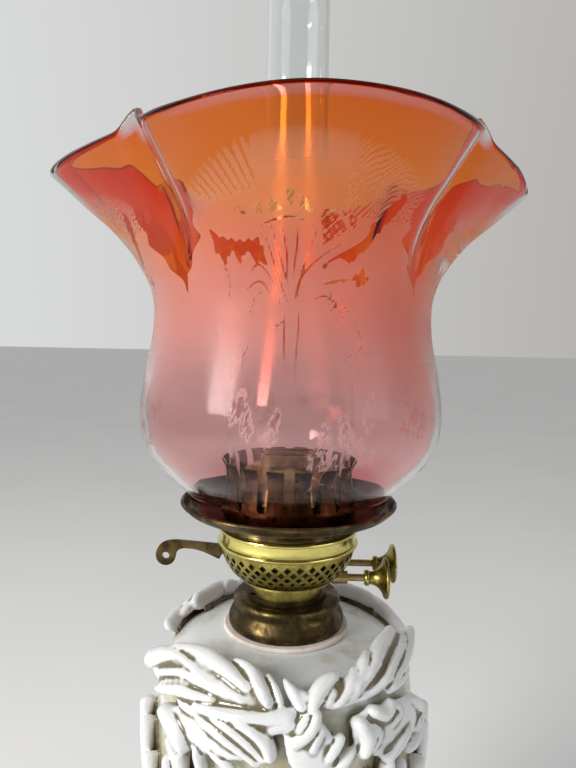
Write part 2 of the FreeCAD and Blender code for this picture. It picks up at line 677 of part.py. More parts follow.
def main():
    os.makedirs("parts", exist_ok=True)
    export("ceramic_body", ceramic_body())
    export("plaster_ring", plaster_ring())
    export("collar", collar())
    export("burner_base", burner_base())
    export("bayonet_studs", bayonet_studs())
    export("basket", basket())
    export("burner_drum", burner_drum())
    for name, side in (("front", -1), ("back", 1)):
        export("wick_tube_" + name, wick_tube(side * WICK_Y))
        export("wick_" + name, wick(side * WICK_Y))
        y = side * SHAFT_Y
        export("winder_shaft_" + name, winder_shaft(y, KNOB_X[name] + 8.0))
        export("spur_wheel_" + name + "_left", spur_wheel(-WHEEL_X, y))
        export("spur_wheel_" + name + "_right", spur_wheel(WHEEL_X, y))
        export("winder_knob_" + name, winder_knob(KNOB_X[name], y))
        export("shaft_bush_" + name, shaft_bush(y))
        export("shaft_hanger_" + name, shaft_hanger(y))
        export("snuffer_" + name, snuffer_sleeve(side * WICK_Y))
    export("snuffer_bridge", snuffer_bridge())
    export("snuffer_rod", snuffer_rod())
    export("extinguisher_lever", extinguisher_lever())
    export("lever_pivot_pin", lever_pivot_pin())
    export("lever_bracket", lever_bracket())
    export("shade_gallery", shade_gallery())
    export("burner_cone", burner_cone())
    export("chimney_coronet", chimney_coronet())
    export("chimney", chimney())
    export("shade", shade())


main()
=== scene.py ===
"""Duplex oil lamp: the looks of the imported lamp, in metres, in its own frame.

The shade, the chimney and the ceramic font are remade here in fine meshes. The burner's brass keeps
its CAD shapes. Sizes are in millimetres, and heights are measured from the shade gallery's lip.
"""
import json
import math
import random

import bmesh
import bpy
import numpy as np
from mathutils import Matrix, Vector


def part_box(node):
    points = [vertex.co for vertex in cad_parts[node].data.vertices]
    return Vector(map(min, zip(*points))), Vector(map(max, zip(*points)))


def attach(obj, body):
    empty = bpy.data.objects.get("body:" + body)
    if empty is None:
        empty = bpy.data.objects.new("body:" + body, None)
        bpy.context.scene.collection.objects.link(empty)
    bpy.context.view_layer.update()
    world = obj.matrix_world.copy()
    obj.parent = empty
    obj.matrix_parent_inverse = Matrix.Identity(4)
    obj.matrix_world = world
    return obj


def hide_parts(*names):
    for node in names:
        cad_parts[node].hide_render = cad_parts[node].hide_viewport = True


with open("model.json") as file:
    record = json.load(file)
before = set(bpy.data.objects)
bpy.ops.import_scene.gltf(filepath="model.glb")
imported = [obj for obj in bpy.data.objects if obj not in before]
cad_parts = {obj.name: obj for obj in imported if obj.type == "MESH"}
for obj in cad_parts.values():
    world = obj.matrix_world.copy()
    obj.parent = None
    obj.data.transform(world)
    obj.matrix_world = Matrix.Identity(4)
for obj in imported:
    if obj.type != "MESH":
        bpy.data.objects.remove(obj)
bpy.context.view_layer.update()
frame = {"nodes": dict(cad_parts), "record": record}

MM = 0.001
CHIMNEY_ABOVE_GALLERY = 262.0
GALLERY_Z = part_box("chimney")[1][2] - CHIMNEY_ABOVE_GALLERY * MM
RANDOM_SEED = 11


# ---- small helpers ----
def link(obj):
    bpy.context.scene.collection.objects.link(obj)
    return obj


def place(r, angle, z):
    """A point at a radius, an angle in degrees from -Y towards +X, and a height, all in millimetres."""
    turn = math.radians(angle)
    return Vector((r * math.sin(turn) * MM, -r * math.cos(turn) * MM, GALLERY_Z + z * MM))


def mesh_object(name, points, faces, sharp=None):
    mesh = bpy.data.meshes.new(name)
    mesh.from_pydata(points, [], faces)
    mesh.validate()
    mesh.shade_smooth()
    if sharp is not None:
        mesh.set_sharp_from_angle(angle=math.radians(sharp))
    return link(bpy.data.objects.new(name, mesh))


def mix(a, b, share):
    return a + (b - a) * share


def smoothstep(low, high, value):
    share = min(max((value - low) / (high - low), 0.0), 1.0)
    return share * share * (3 - 2 * share)


def store(mesh, name, values):
    """Keeps one number for each point of a mesh, for its material to read."""
    layer = mesh.attributes.new(name, "FLOAT", "POINT")
    layer.data.foreach_set("value", np.ravel(values).astype(np.float32))


def spline(points, steps):
    """A smooth line through points of any dimension, as steps pieces for each stretch."""
    line = []
    last = len(points) - 1
    for i in range(last):
        p0 = points[max(i - 1, 0)]
        p1 = points[i]
        p2 = points[i + 1]
        p3 = points[min(i + 2, last)]
        for k in range(steps):
            t = k / steps
            point = []
            for a, b, c, d in zip(p0, p1, p2, p3):
                point.append(0.5 * (2 * b + (c - a) * t + (2 * a - 5 * b + 4 * c - d) * t * t
                                    + (3 * b - a - 3 * c + d) * t ** 3))
            line.append(tuple(point))
    line.append(tuple(points[-1]))
    return line


def grid_faces(rows, columns, close_rows, close_columns, start=0):
    """Quads of a grid of points stored row by row, closed round in either direction."""
    faces = []
    for i in range(rows if close_rows else rows - 1):
        for j in range(columns if close_columns else columns - 1):
            a = i * columns + j
            b = i * columns + (j + 1) % columns
            c = ((i + 1) % rows) * columns + (j + 1) % columns
            d = ((i + 1) % rows) * columns + j
            faces.append((start + a, start + b, start + c, start + d))
    return faces


def lathe(name, outline, steps=144, sharp=35.0):
    """A closed outline of (radius, height) turned round the lamp's axis."""
    points = []
    for r, z in outline:
        for i in range(steps):
            points.append(place(r, 360 * i / steps, z))
    return mesh_object(name, points, grid_faces(len(outline), steps, True, True)[::-1], sharp)


# ---- camera ----
CAMERA_DISTANCE = 315.8
CAMERA_SIDEWAYS = -1.6
CAMERA_ABOVE_GALLERY = 80.2
CAMERA_PITCH = 3.59                      # degrees down
CAMERA_ROLL = 1.2
CAMERA_LENS = 28.39                      # focal length on a frame 36 wide


def make_camera():
    data = bpy.data.cameras.new("camera")
    data.sensor_width = 36.0
    data.lens = CAMERA_LENS
    data.clip_start = 0.01
    camera = link(bpy.data.objects.new("camera", data))
    turn = Matrix.Rotation(math.radians(90 - CAMERA_PITCH), 4, "X")
    roll = Matrix.Rotation(math.radians(CAMERA_ROLL), 4, "Z")
    spot = Vector((CAMERA_SIDEWAYS * MM, -CAMERA_DISTANCE * MM, GALLERY_Z + CAMERA_ABOVE_GALLERY * MM))
    camera.matrix_world = Matrix.Translation(spot) @ turn @ roll
    bpy.context.scene.camera = camera


# ---- materials ----
STAIN = (                                # share of the shade's height, and the stain's colour there
    (0.0, (0.60, 0.09, 0.09)), (0.04, (0.80, 0.30, 0.30)), (0.10, (0.98, 0.57, 0.56)),
    (0.24, (0.97, 0.47, 0.455)), (0.36, (0.95, 0.33, 0.29)), (0.47, (0.94, 0.25, 0.16)),
    (0.58, (0.93, 0.19, 0.035)), (0.68, (0.93, 0.13, 0.006)), (0.80, (0.89, 0.055, 0.0005)),
    (1.0, (0.72, 0.013, 0.0001)),
)
FROST = (                                # the same for the etched face's own colour
    (0.3, (0.92, 0.54, 0.56)), (0.6, (0.93, 0.49, 0.42)), (0.72, (0.93, 0.45, 0.26)),
    (0.84, (0.9, 0.34, 0.06)),
)
STAIN_SPAN = 180.0                       # height over which the stain runs
SHADE_IOR = 1.25                         # below real glass, to keep pale reflections off the colour
EDGE_SOFTNESS = 0.16                     # half the width of the etching's edge


class Nodes:
    """Builds one material's node tree from short calls."""

    def __init__(self, name):
        self.material = bpy.data.materials.new(name)
        self.material.use_nodes = True
        self.tree = self.material.node_tree
        self.shader = self.tree.nodes["Principled BSDF"]
        self.place = self.add("ShaderNodeTexCoord").outputs["Object"]

    def add(self, kind, **settings):
        node = self.tree.nodes.new(kind)
        for key, value in settings.items():
            setattr(node, key, value)
        return node

    def join(self, output, socket):
        self.tree.links.new(output, socket)

    def set(self, **values):
        for key, value in values.items():
            self.shader.inputs[key.replace("_", " ")].default_value = value

    def noise(self, scale, detail=4.0, rough=0.55, distortion=0.0, source=None):
        """Noise of about scale lumps to the metre, on the object's own place unless given another."""
        node = self.add("ShaderNodeTexNoise")
        node.inputs["Scale"].default_value = scale
        node.inputs["Detail"].default_value = detail
        node.inputs["Roughness"].default_value = rough
        node.inputs["Distortion"].default_value = distortion
        self.join(source or self.place, node.inputs["Vector"])
        return node.outputs["Fac"]

    def stretch(self, scale):
        node = self.add("ShaderNodeMapping")
        node.inputs["Scale"].default_value = scale
        self.join(self.place, node.inputs["Vector"])
        return node.outputs["Vector"]

    def ramp(self, value, stops):
        node = self.add("ShaderNodeValToRGB")
        ramp = node.color_ramp
        while len(ramp.elements) < len(stops):
            ramp.elements.new(0.5)
        for element, (position, colour) in zip(ramp.elements, stops):
            element.position = position
            element.color = (*colour, 1.0)
        self.join(value, node.inputs["Fac"])
        return node.outputs["Color"]

    def blend(self, share, first, second):
        """First colour where share is 0, second where it is 1. Either may be a socket or a colour."""
        node = self.add("ShaderNodeMix", data_type="RGBA")
        self.join(share, node.inputs[0])
        for value, index in ((first, 6), (second, 7)):
            if isinstance(value, bpy.types.NodeSocket):
                self.join(value, node.inputs[index])
            else:
                node.inputs[index].default_value = (*value, 1.0)
        return node.outputs[2]

    def math(self, operation, first, second=0.0):
        node = self.add("ShaderNodeMath", operation=operation)
        for value, index in ((first, 0), (second, 1)):
            if isinstance(value, bpy.types.NodeSocket):
                self.join(value, node.inputs[index])
            else:
                node.inputs[index].default_value = value
        return node.outputs[0]

    def range(self, value, low, high, to_low=0.0, to_high=1.0):
        node = self.add("ShaderNodeMapRange")
        node.inputs["From Min"].default_value = low
        node.inputs["From Max"].default_value = high
        node.inputs["To Min"].default_value = to_low
        node.inputs["To Max"].default_value = to_high
        self.join(value, node.inputs["Value"])
        return node.outputs["Result"]

    def attribute(self, name):
        return self.add("ShaderNodeAttribute", attribute_name=name).outputs["Fac"]

    def height(self):
        split = self.add("ShaderNodeSeparateXYZ")
        self.join(self.place, split.inputs[0])
        return split.outputs["Z"]

    def bump(self, value, strength, distance):
        node = self.add("ShaderNodeBump")
        node.inputs["Strength"].default_value = strength
        node.inputs["Distance"].default_value = distance
        self.join(value, node.inputs["Height"])
        self.join(node.outputs["Normal"], self.shader.inputs["Normal"])

    def colour(self, output):
        self.join(output, self.shader.inputs["Base Color"])

    def roughness(self, output):
        self.join(output, self.shader.inputs["Roughness"])


def brass(name, bright, dull, tarnish, low, high, gloss, wear=0.5):
    """Old brass: bright metal under patches of tarnish, with fine lathe lines round it."""
    m = Nodes(name)
    m.set(Metallic=1.0)
    patches = m.noise(95.0, 6.0, 0.62, 0.6)
    specks = m.noise(900.0, 3.0, 0.6)
    cover = m.range(patches, low, high)
    base = m.blend(cover, bright, dull)
    spots = m.range(specks, 0.56, 0.72, 0.0, wear)
    m.colour(m.blend(spots, base, tarnish))
    fine = m.noise(420.0, 5.0, 0.6)
    dulled = m.range(cover, 0.0, 1.0, gloss, gloss + 0.24)
    m.roughness(m.math("ADD", dulled, m.range(fine, 0.3, 0.7, -0.04, 0.06)))
    lines = m.noise(40.0, 3.0, 0.7, 0.0, m.stretch((1.0, 1.0, 46.0)))
    m.bump(m.math("ADD", m.math("MULTIPLY", lines, 0.5), specks), 0.12, 0.0002)
    return m.material


def shade_glass(outside):
    """The outer face is clear, with its etching; the inner face carries the stain, amber over pink."""
    m = Nodes("etched_glass" if outside else "stained_glass")
    m.set(IOR=SHADE_IOR)
    drift = m.range(m.noise(14.0, 3.0, 0.5), 0.3, 0.7, -0.005, 0.005)
    level = m.math("ADD", m.height(), drift)
    share = m.range(level, GALLERY_Z, GALLERY_Z + STAIN_SPAN * MM)
    if not outside:
        m.set(Transmission_Weight=1.0)
        # grey where a fold's tip stands over the rim
        stain = m.blend(m.attribute("grey_tip"), m.ramp(share, STAIN), (0.62, 0.63, 0.60))
        m.colour(stain)
        m.join(stain, m.shader.inputs["Specular Tint"])
        m.roughness(m.range(m.noise(38.0, 2.0, 0.5, 0.4), 0.3, 0.7, 0.01, 0.03))
        return m.material
    inside = m.range(m.attribute("etching"), -EDGE_SOFTNESS, EDGE_SOFTNESS)
    etch = m.math("MULTIPLY", inside, m.attribute("frosting"))
    m.set(Specular_IOR_Level=0.3)
    m.join(m.range(etch, 0.0, 1.0, 1.0, 0.74), m.shader.inputs["Transmission Weight"])
    m.colour(m.blend(etch, (0.99, 0.97, 0.96), m.ramp(share, FROST)))
    m.roughness(m.range(etch, 0.0, 1.0, 0.015, 0.42))
    m.bump(m.noise(38.0, 2.0, 0.5, 0.4), 0.10, 0.002)
    return m.material


def clear_glass():
    m = Nodes("clear_glass")
    m.set(Transmission_Weight=1.0, IOR=1.45)
    smudge = m.noise(24.0, 4.0, 0.6)
    m.colour(m.ramp(smudge, [(0.35, (0.97, 0.985, 0.98)), (0.7, (0.93, 0.95, 0.945))]))
    m.roughness(m.range(smudge, 0.35, 0.75, 0.01, 0.05))
    m.bump(m.noise(9.0, 1.0, 0.5), 0.05, 0.001)
    return m.material


def white_glaze():
    """Thick white glaze, with painted olive-brown shade in the hollows and darker painted shade in the slits.
    """
    m = Nodes("white_glaze")
    m.set(Coat_Weight=0.6, Coat_Roughness=0.06, IOR=1.5, Subsurface_Weight=0.05)
    clouds = m.noise(26.0, 4.0, 0.55)
    clay = m.ramp(clouds, [(0.3, (0.65, 0.66, 0.665)), (0.7, (0.75, 0.76, 0.765))])
    drift = m.range(m.noise(60.0, 4.0, 0.6), 0.35, 0.65, -0.35, 0.25)
    # painted shade: olive-brown in the wide hollows, dark brown in the narrow slits between fingers
    valley = m.range(m.math("ADD", m.attribute("valley"), drift), -0.12, 0.5)
    slit = m.range(m.math("ADD", m.attribute("slit"), m.math("MULTIPLY", drift, 0.25)), 0.06, 0.42)
    hollow_shaded = m.blend(valley, clay, (0.42, 0.39, 0.25))
    m.colour(m.blend(slit, hollow_shaded, (0.13, 0.11, 0.06)))
    m.roughness(m.range(m.noise(300.0, 3.0, 0.6), 0.3, 0.7, 0.16, 0.30))
    m.bump(m.noise(160.0, 3.0, 0.5), 0.10, 0.0006)
    return m.material


def plaster():
    m = Nodes("plaster")
    blotch = m.noise(110.0, 6.0, 0.65)
    dirty, plain, pale = (0.50, 0.40, 0.33), (0.74, 0.64, 0.57), (0.84, 0.77, 0.71)
    m.colour(m.ramp(blotch, [(0.25, dirty), (0.42, plain), (0.7, pale)]))
    m.roughness(m.range(blotch, 0.2, 0.8, 0.8, 0.95))
    m.bump(m.noise(700.0, 5.0, 0.7), 0.6, 0.0006)
    return m.material


def wick_cotton():
    m = Nodes("wick_cotton")
    weave = m.add("ShaderNodeTexWave", wave_type="BANDS", bands_direction="Z")
    weave.inputs["Scale"].default_value = 420.0
    weave.inputs["Distortion"].default_value = 1.5
    m.join(m.place, weave.inputs["Vector"])
    fuzz = m.noise(900.0, 4.0, 0.7)
    m.colour(m.ramp(fuzz, [(0.3, (0.60, 0.54, 0.42)), (0.7, (0.80, 0.76, 0.65))]))
    m.roughness(m.range(fuzz, 0.2, 0.8, 0.85, 0.97))
    m.bump(m.math("ADD", weave.outputs["Fac"], fuzz), 0.5, 0.0004)
    return m.material


def paint(obj, material):
    obj.data.materials.clear()
    obj.data.materials.append(material)


# ---- shade ----
SHADE_TURN = 4.8                         # the first lobe's middle, in degrees from -Y towards +X
LOBE_R = 121.3
FOLD_R = 100.0
WALL = 2.9
WAIST = 9                                # the body point where the lobes start to spread
SHADE_BODY = (
    (50.0, -3.2), (50.6, 0.0), (52.0, 4.5), (56.5, 9.0), (68.5, 21.0), (75.3, 33.5), (76.7, 48.5),
    (74.5, 66.0), (71.0, 83.5), (70.2, 99.0), (72.6, 109.0), (77.4, 118.0), (84.0, 127.5),
    (93.0, 137.5), (105.0, 147.5), (121.3, 162.0),
)
RIM_HEIGHTS = (                          # (angle, height) of the hand-worked rim, right round
    (-94, 170), (-85, 161.5), (-63, 162), (-40, 162.5), (-20, 160.5), (5, 162.5), (28, 162.5), (50, 165.5),
    (72, 164), (93, 160), (104, 170), (122, 177), (137, 177), (180, 171), (228, 172), (248, 178), (266, 170),
)
FOLD_DEPTH = 8.0
FOLD_WIDTHS = (8.5, 3.6)                 # degrees either side of a fold, at the waist and at the rim
FOLD_LIFT = 7.0                          # how far the rim stands up at a fold
TIP_START = 1.8                          # height over the rim where a fold's tip turns grey
TIP_FADE = 2.5
LIP = 0.9                                # how far the rounded rim rises over the last row
FOOT_LIP = 0.5
COLUMNS = 200                            # mesh columns in one lobe
ROW_STEP = 0.75
INNER_STEP = 5                           # outer rows to one row of the inner face


def rim_height(angle):
    turned = (angle + 94) % 360 - 94
    for (a0, z0), (a1, z1) in zip(RIM_HEIGHTS, RIM_HEIGHTS[1:]):
        if a0 <= turned <= a1:
            return mix(z0, z1, smoothstep(a0, a1, turned))
    return RIM_HEIGHTS[0][1]


def rim_radius(lobe, share):
    """Rim radius at a share from -1, a lobe's left fold, to 1, its right one. Side lobes are pointed."""
    away = abs(share)
    if lobe % 2 == 0:
        full = 1 - away ** 1.9
    else:
        front_half = (lobe == 1) == (share < 0)
        blunt = math.sqrt(away * away + 0.01) - 0.1
        full = max(1 - blunt, 0.0) ** (2.2 if front_half else 1.3)
    return FOLD_R + (LOBE_R - FOLD_R) * full


def even_line(points, step):
    """A smooth line through points, cut into nearly even steps."""
    fine = spline(points, 24)
    line = [fine[0]]
    for point in fine[1:]:
        if math.dist(point, line[-1]) >= step:
            line.append(point)
    line[-1] = fine[-1]
    return line


def lobe_shares(count):
    """Places across a lobe, closer together at its folds."""
    shares = []
    for i in range(count):
        share = 2 * i / count - 1
        shares.append(math.copysign(1 - (1 - abs(share)) ** 1.35, share))
    return shares


def shade_ring(body, number, share):
    """One upright line of the shade, as (radius, height) points, and its angle."""
    angle = SHADE_TURN + 90 * number + 45 * share
    waist_r, waist_z = SHADE_BODY[WAIST]
    top_r, top_z = SHADE_BODY[-1]
    rim_r = rim_radius(number, share)
    rim_z = rim_height(angle)
    from_fold = 45 * (1 - abs(share))
    line = []
    for r, z in body:
        if z > waist_z:
            out = (r - waist_r) / (top_r - waist_r)
            up = (z - waist_z) / (top_z - waist_z)
            tuck = math.exp(-(from_fold / mix(*FOLD_WIDTHS, up)) ** 2)
            r = waist_r + out * (rim_r - waist_r) - FOLD_DEPTH * tuck * up ** 1.1 * (1 - 0.8 * up ** 5)
            z = waist_z + up * (rim_z - waist_z) + FOLD_LIFT * tuck * up ** 7
        line.append((r, z))
    return angle, line


def shade_outside(body, shares):
    """Rows of points on the outer face, from the foot up to the rim."""
    rows = [[] for _ in body]
    for number in range(4):
        for share in shares:
            angle, line = shade_ring(body, number, share)
            for row, (r, z) in zip(rows, line):
                row.append(place(r, angle, z))
    return rows


def shade_inside(outer):
    """Fewer rows of points a wall's thickness inside the outer face, from the rim down to the foot."""
    last = len(outer) - 1
    columns = len(outer[0])
    reach = INNER_STEP - 1
    rows = []
    for k in list(range(last, 0, -INNER_STEP)) + [0]:
        below = outer[max(k - reach, 0)]
        above = outer[min(k + reach, last)]
        ring = outer[k]
        row = []
        for j in range(columns):
            along = ring[(j + 1) % columns] - ring[j - 1]
            normal = along.cross(above[j] - below[j]).normalized()
            row.append(ring[j] - normal * WALL * MM)
        rows.append(row)
    return rows


def make_shade():
    body = even_line(SHADE_BODY, ROW_STEP)
    shares = lobe_shares(COLUMNS)
    columns = 4 * COLUMNS
    outer = shade_outside(body, shares)
    inner = shade_inside(outer)
    rows = len(outer)
    rim = []
    foot = []
    for j in range(columns):
        lift = (outer[-1][j] - outer[-3][j]).normalized() * LIP * MM
        rim.append((outer[-1][j] + inner[0][j]) / 2 + lift)
        foot.append((outer[0][j] + inner[-1][j]) / 2 - Vector((0, 0, FOOT_LIP * MM)))
    loop = outer + [rim] + inner + [foot]
    points = [point for row in loop for point in row]
    faces = grid_faces(len(loop), columns, True, True)
    shade = mesh_object("glass_shade", points, faces)
    shade.data.materials.append(shade_glass(True))
    shade.data.materials.append(shade_glass(False))
    stained = [0] * len(faces)
    for i in range((rows - 1) * columns, (rows + len(inner)) * columns):
        stained[i] = 1
    shade.data.polygons.foreach_set("material_index", stained)
    etch, frosting = etched_pattern(shares, [z for r, z in body])
    depth = np.full((len(loop), columns), -DEEPEST)
    for name, values in (("etching", etch), ("frosting", frosting)):
        depth[:rows] = np.tile(values, (1, 4))
        store(shade.data, name, depth)
    height = np.array([point.z for point in points]).reshape(depth.shape) / MM - GALLERY_Z / MM
    rims = np.array([rim_height(SHADE_TURN + 90 * n + 45 * s) for n in range(4) for s in shares])
    store(shade.data, "grey_tip", np.clip((height - rims - TIP_START) / TIP_FADE, 0, 1))
    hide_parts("shade")
    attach(shade, "shade_glass")


# ---- etched pattern, drawn in millimetres across a lobe from the iris's stem, and height ----
PATTERN_SHIFT = 5.5                      # degrees from the iris's stem to the lobe's middle
PER_DEGREE = 1.45
DEEPEST = 2.0                            # depths are cut off here
CROWN = 153.5                            # top of the etched ground, at the stem
GROUND_FOOT = 30.0
GROUND_HALF = 46.0                       # half-width of the ground, between the folds
SPREAD_BELOW = 124.0                     # height under which the ground reaches into the folds
RAYS_FROM = 135.5
SWIRL_FROM = 129.0
FRAY_FROM = 141.0
UNTOUCHED = 9.0                          # a depth too great to change the pattern
FADE_FOOT = 38.0
FADE_RISE = 50.0                         # the frosting grows from nothing over this height
FADE_CROWN = 15.0
IRIS = ((-13.0, 125), (-11.0, 128), (-5.5, 129.8), (0.0, 130.2), (6.0, 128.6), (10.0, 125), (10.4, 120),
        (8.6, 115), (4.8, 110.3), (2.6, 99), (2.2, 80), (-0.2, 60), (-1.8, 60), (-2.4, 80), (-2.8, 99),
        (-8.4, 111))
WEDGES = (                               # netted, in a row over the iris
    ((-25.4, 131.7), (-17.4, 134.0), (-17.6, 130.0)),
    ((-16.0, 131.2), (-11.3, 134.6), (-11.0, 129.8)),
    ((-9.4, 130.0), (-7.7, 135.2), (-3.4, 131.2)),
    ((-3.0, 137.2), (0.6, 137.0), (-0.1, 131.4), (-1.4, 131.4)),
    ((2.0, 131.4), (3.2, 136.0), (8.2, 129.6)),
    ((9.6, 130.5), (14.4, 132.4), (21.8, 125.4), (12.4, 118.6), (11.6, 124)),
    ((20.0, 130.4), (24.4, 129.0), (25.6, 126.0), (22.6, 125.6)),
)
GAPS = (                                 # clear glass beside the iris
    ((-36, 126.5), (-30, 123), (-22, 121.4), (-13.6, 122), (-12, 116), (-11, 112.6), (-16, 113.4), (-20, 118),
     (-24, 113), (-27, 118.5), (-31, 113), (-35, 118)),
    ((13.0, 111.5), (20, 117.5), (27.5, 122.0), (34, 131), (40, 138.5), (43, 137), (37, 127), (31, 118),
     (25, 112), (19, 110)),
    ((29, 108), (33, 112), (37, 108), (33, 104)),
)
LEAVES = (                               # (spine, half-widths along it)
    (((-41, 139), (-33, 133), (-21, 127.6), (-13, 126)), (1.0, 3.6, 3.4, 1.0)),
    (((1.5, 99), (4.5, 107), (10, 113.5), (18, 119), (27, 123.5), (31, 126)), (1.2, 2.2, 2.9, 3.2, 2.6, 0.4)),
    (((14, 106), (21, 110.5), (28, 108)), (1.0, 4.6, 0.8)),
    (((-24, 62), (-20, 58), (-15, 60)), (2.0, 4.4, 2.0)),
    (((-14, 50), (-10, 54), (-9, 60)), (1.4, 3.6, 1.0)),
    (((8, 52), (15, 49), (22, 54)), (0.6, 3.0, 0.6)),
)
VEIN_WIDTHS = (0.2, 0.5, 0.34, 0.3, 0.15)
VEINS = (                                # clear lines left in the etching
    ((-11.6, 125), (-7.4, 111), (-2.2, 98)), ((-8.6, 127), (-5.0, 114), (-2.6, 106)),
    ((-4.6, 128), (-2.4, 116), (-2.0, 104)), ((2.4, 128.6), (1.6, 117), (0.4, 108)),
    ((9.2, 124), (5.4, 112), (2.0, 99)),
    ((-12.4, 126.4), (-6.0, 128.2), (0.0, 128.6), (6.0, 127), (9.4, 123)),
    ((1.2, 97), (4.0, 107), (12, 115), (20, 120)), ((14, 105), (20, 106.4), (27, 107.6)),
    ((-20, 109), (-15, 112.5), (-9, 106), (-5, 96)), ((-22, 103), (-15, 106), (-10, 101)),
    ((10, 99), (16, 100.5), (22, 97)), ((3.4, 96), (3.4, 86), (2.0, 70)),
    ((-3.4, 94), (-3.2, 84), (-2.6, 70)), ((16, 93), (24, 97), (31, 92), (34, 84)),
    ((-12, 92), (-8, 88), (-4, 90)),
)
FERNS = (                                # (across, height, heading) of each fern's root
    (-26, 48, 1.2), (-18, 42, 1.7), (-9, 40, 1.3), (28, 38, 1.9), (36, 46, 1.4), (16, 34, 1.6),
)


def polygon_depth(x, y, corners):
    """How deep each point lies inside a polygon, negative outside."""
    nearest = np.full(x.shape, 1e9)
    inside = np.zeros(x.shape, bool)
    for (x0, y0), (x1, y1) in zip(corners, corners[1:] + corners[:1]):
        dx, dy = x1 - x0, y1 - y0
        along = np.clip(((x - x0) * dx + (y - y0) * dy) / (dx * dx + dy * dy), 0, 1)
        nearest = np.minimum(nearest, np.hypot(x - x0 - along * dx, y - y0 - along * dy))
        crosses = (y0 > y) != (y1 > y)
        inside ^= crosses & (x < dx * (y - y0) / (dy if dy else 1e-9) + x0)
    return np.where(inside, nearest, -nearest)


def stroke_depth(x, y, spine, widths):
    """How deep each point lies inside a stroke whose half-width changes along its smooth spine."""
    line = spline([(*p, w) for p, w in zip(spine, widths)], 5)
    best = np.full(x.shape, -1e9)
    for (x0, y0, w0), (x1, y1, w1) in zip(line, line[1:]):
        dx, dy = x1 - x0, y1 - y0
        along = np.clip(((x - x0) * dx + (y - y0) * dy) / (dx * dx + dy * dy + 1e-9), 0, 1)
        best = np.maximum(best, w0 + along * (w1 - w0) - np.hypot(x - x0 - along * dx, y - y0 - along * dy))
    return best


def twig(start, heading, length, rng, lines):
    """Adds a forking twig's lines, each a spine and its half-widths."""
    if length < 2.2:
        return
    end = (start[0] + length * math.cos(heading), start[1] + length * math.sin(heading))
    lines.append(((start, end), (0.26, 0.16)))
    for side in (-1, 1):
        if rng.random() < 0.85:
            twig(end, heading + side * rng.uniform(0.3, 0.8), length * rng.uniform(0.55, 0.8), rng, lines)


def fern(start, heading, length, lines):
    """Adds a fern: a spine with short barbs on both sides."""
    end = (start[0] + length * math.cos(heading), start[1] + length * math.sin(heading))
    lines.append(((start, end), (0.3, 0.15)))
    for i in range(1, 9):
        share = i / 9
        root = (mix(start[0], end[0], share), mix(start[1], end[1], share))
        for side in (-1, 1):
            turned = heading + side * 1.0
            reach = 3.6 * (1 - share * 0.7)
            tip = (root[0] + reach * math.cos(turned), root[1] + reach * math.sin(turned))
            lines.append(((root, tip), (0.28, 0.12)))


def etched_ground(x, y, crown):
    """The etched field under the crown, with rays on its left, a swirl on its right and a frayed top."""
    sides = GROUND_HALF - np.abs(x - 4) + 1.3 * np.sin(y * 0.6) + np.maximum(SPREAD_BELOW - y, 0) * 1.1
    ground = np.minimum(np.minimum(crown - y, y - GROUND_FOOT), sides)
    rays = np.sin(np.arctan2(x, y - 92) * 130) * 0.5
    left_rays = np.where((x < -12) & (y > RAYS_FROM), rays + 0.16, UNTOUCHED)
    swirl = np.sin((np.hypot(x - 48, y - 118) + 0.7 * np.sin(x * 0.5)) * 4.2) * 0.5
    right_rays = np.where((x > 17) & (y > SWIRL_FROM), swirl + 0.12, UNTOUCHED)
    ragged = np.sin(x * 3.1 + np.sin(y * 0.8)) * 0.5 + (crown - y) * 0.22
    fray = np.where(y > FRAY_FROM, ragged, UNTOUCHED)
    return np.minimum(np.minimum(ground, left_rays), np.minimum(right_rays, fray))


def add_shapes(depth, x, y):
    """Cuts the wedges and gaps out of the ground, then puts in the iris, its leaves and the veins."""
    net = np.minimum(np.abs(np.sin((x + y) * 1.1)), np.abs(np.sin((x - y) * 1.1)))
    for corners in WEDGES:
        hole = polygon_depth(x, y, corners)
        depth = np.where(hole > -0.4, np.minimum(depth, np.maximum(-hole, 0.3 - net)), depth)
    flames = 0.6 * np.sin(x * 1.7 + 2 * np.sin(y * 0.5))
    for corners in GAPS:
        depth = np.minimum(depth, -polygon_depth(x, y, corners) + flames)
    depth = np.maximum(depth, polygon_depth(x, y, IRIS))
    for spine, widths in LEAVES:
        leaf = stroke_depth(x, y, spine, widths)
        depth = np.where(leaf > -0.5, np.maximum(np.minimum(depth, np.abs(leaf) - 0.22), leaf), depth)
    for line in VEINS:
        depth = np.minimum(depth, -stroke_depth(x, y, line, VEIN_WIDTHS[:len(line)]))
    return depth


def clear_twigs(rng):
    """Twigs of clear glass, scattered either side of the stem."""
    lines = []
    for _ in range(9):
        spot = (rng.choice((rng.uniform(-44, -8), rng.uniform(10, 44))), rng.uniform(66, 104))
        twig(spot, rng.uniform(0.6, 2.5), rng.uniform(5, 8), rng, lines)
    return lines


def frosted_ferns(rng):
    """Ferns and twigs that stand alone on the clear glass below the ground."""
    lines = []
    for across, height, heading in FERNS:
        fern((across, height), heading, 15, lines)
    for _ in range(4):
        twig((rng.uniform(8, 34), rng.uniform(18, 28)), rng.uniform(0.6, 2.2), 7, rng, lines)
    return lines


